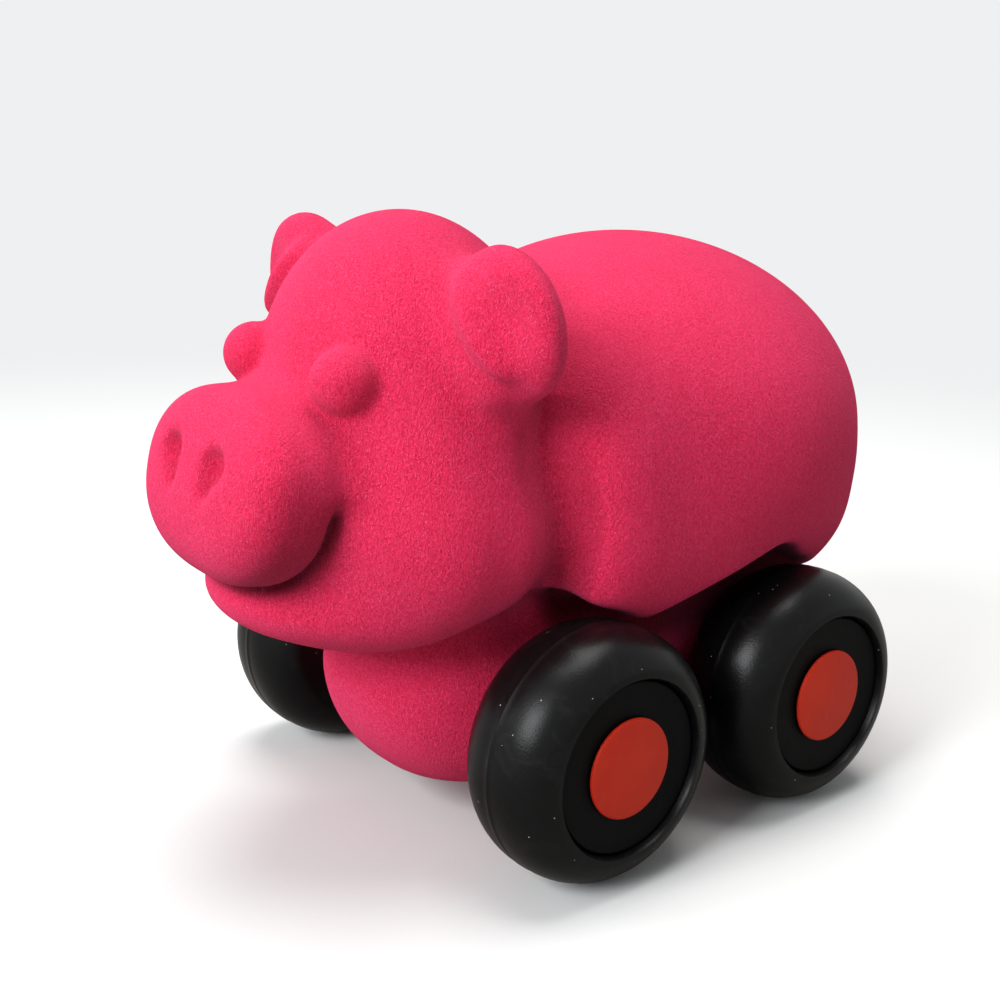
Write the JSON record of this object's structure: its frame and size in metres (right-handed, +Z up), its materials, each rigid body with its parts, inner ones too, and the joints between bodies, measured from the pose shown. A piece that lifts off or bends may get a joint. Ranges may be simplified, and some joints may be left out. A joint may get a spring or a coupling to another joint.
{
  "type": "pig toy car",
  "caption": "Push-along pig on wheels: a soft flocked foam body on turning steel axles, with balloon tyres and domed hub caps.",
  "frame": {"origin": "on the floor under the middle of the toy's length and width", "axes": "+Z up, the pig faces -Y, its left side is +X, and the axles lie along X"},
  "size_m": [0.0962, 0.1412, 0.1077],
  "materials": {
    "foam": "flocked pile",
    "tyre": "satin",
    "hub": "satin",
    "hub_cap": "satin",
    "nylon": "satin",
    "steel": "drawn"
  },
  "bodies": {
    "car_body": {"foam_body": "foam", "axle_tube_front": "nylon", "bush_front_left": "nylon", "bush_front_right": "nylon", "axle_tube_rear": "nylon", "bush_rear_left": "nylon", "bush_rear_right": "nylon"},
    "front_wheel_set": {"axle_front": "steel", "washer_front_left": "nylon", "wheel_hub_front_left": "hub", "tyre_front_left": "tyre", "retaining_ring_front_left": "steel", "hub_cap_front_left": "hub_cap", "washer_front_right": "nylon", "wheel_hub_front_right": "hub", "tyre_front_right": "tyre", "retaining_ring_front_right": "steel", "hub_cap_front_right": "hub_cap"},
    "rear_wheel_set": {"axle_rear": "steel", "washer_rear_left": "nylon", "wheel_hub_rear_left": "hub", "tyre_rear_left": "tyre", "retaining_ring_rear_left": "steel", "hub_cap_rear_left": "hub_cap", "washer_rear_right": "nylon", "wheel_hub_rear_right": "hub", "tyre_rear_right": "tyre", "retaining_ring_rear_right": "steel", "hub_cap_rear_right": "hub_cap"}
  },
  "joints": [
    {"name": "front_axle_roll", "type": "hinge", "parent": "car_body", "child": "front_wheel_set", "pos_m": [0, -0.01803, 0.02189], "axis": [1, 0, 0], "continuous": true},
    {"name": "rear_axle_roll", "type": "hinge", "parent": "car_body", "child": "rear_wheel_set", "pos_m": [0, 0.03197, 0.02189], "axis": [1, 0, 0], "continuous": true}
  ]
}
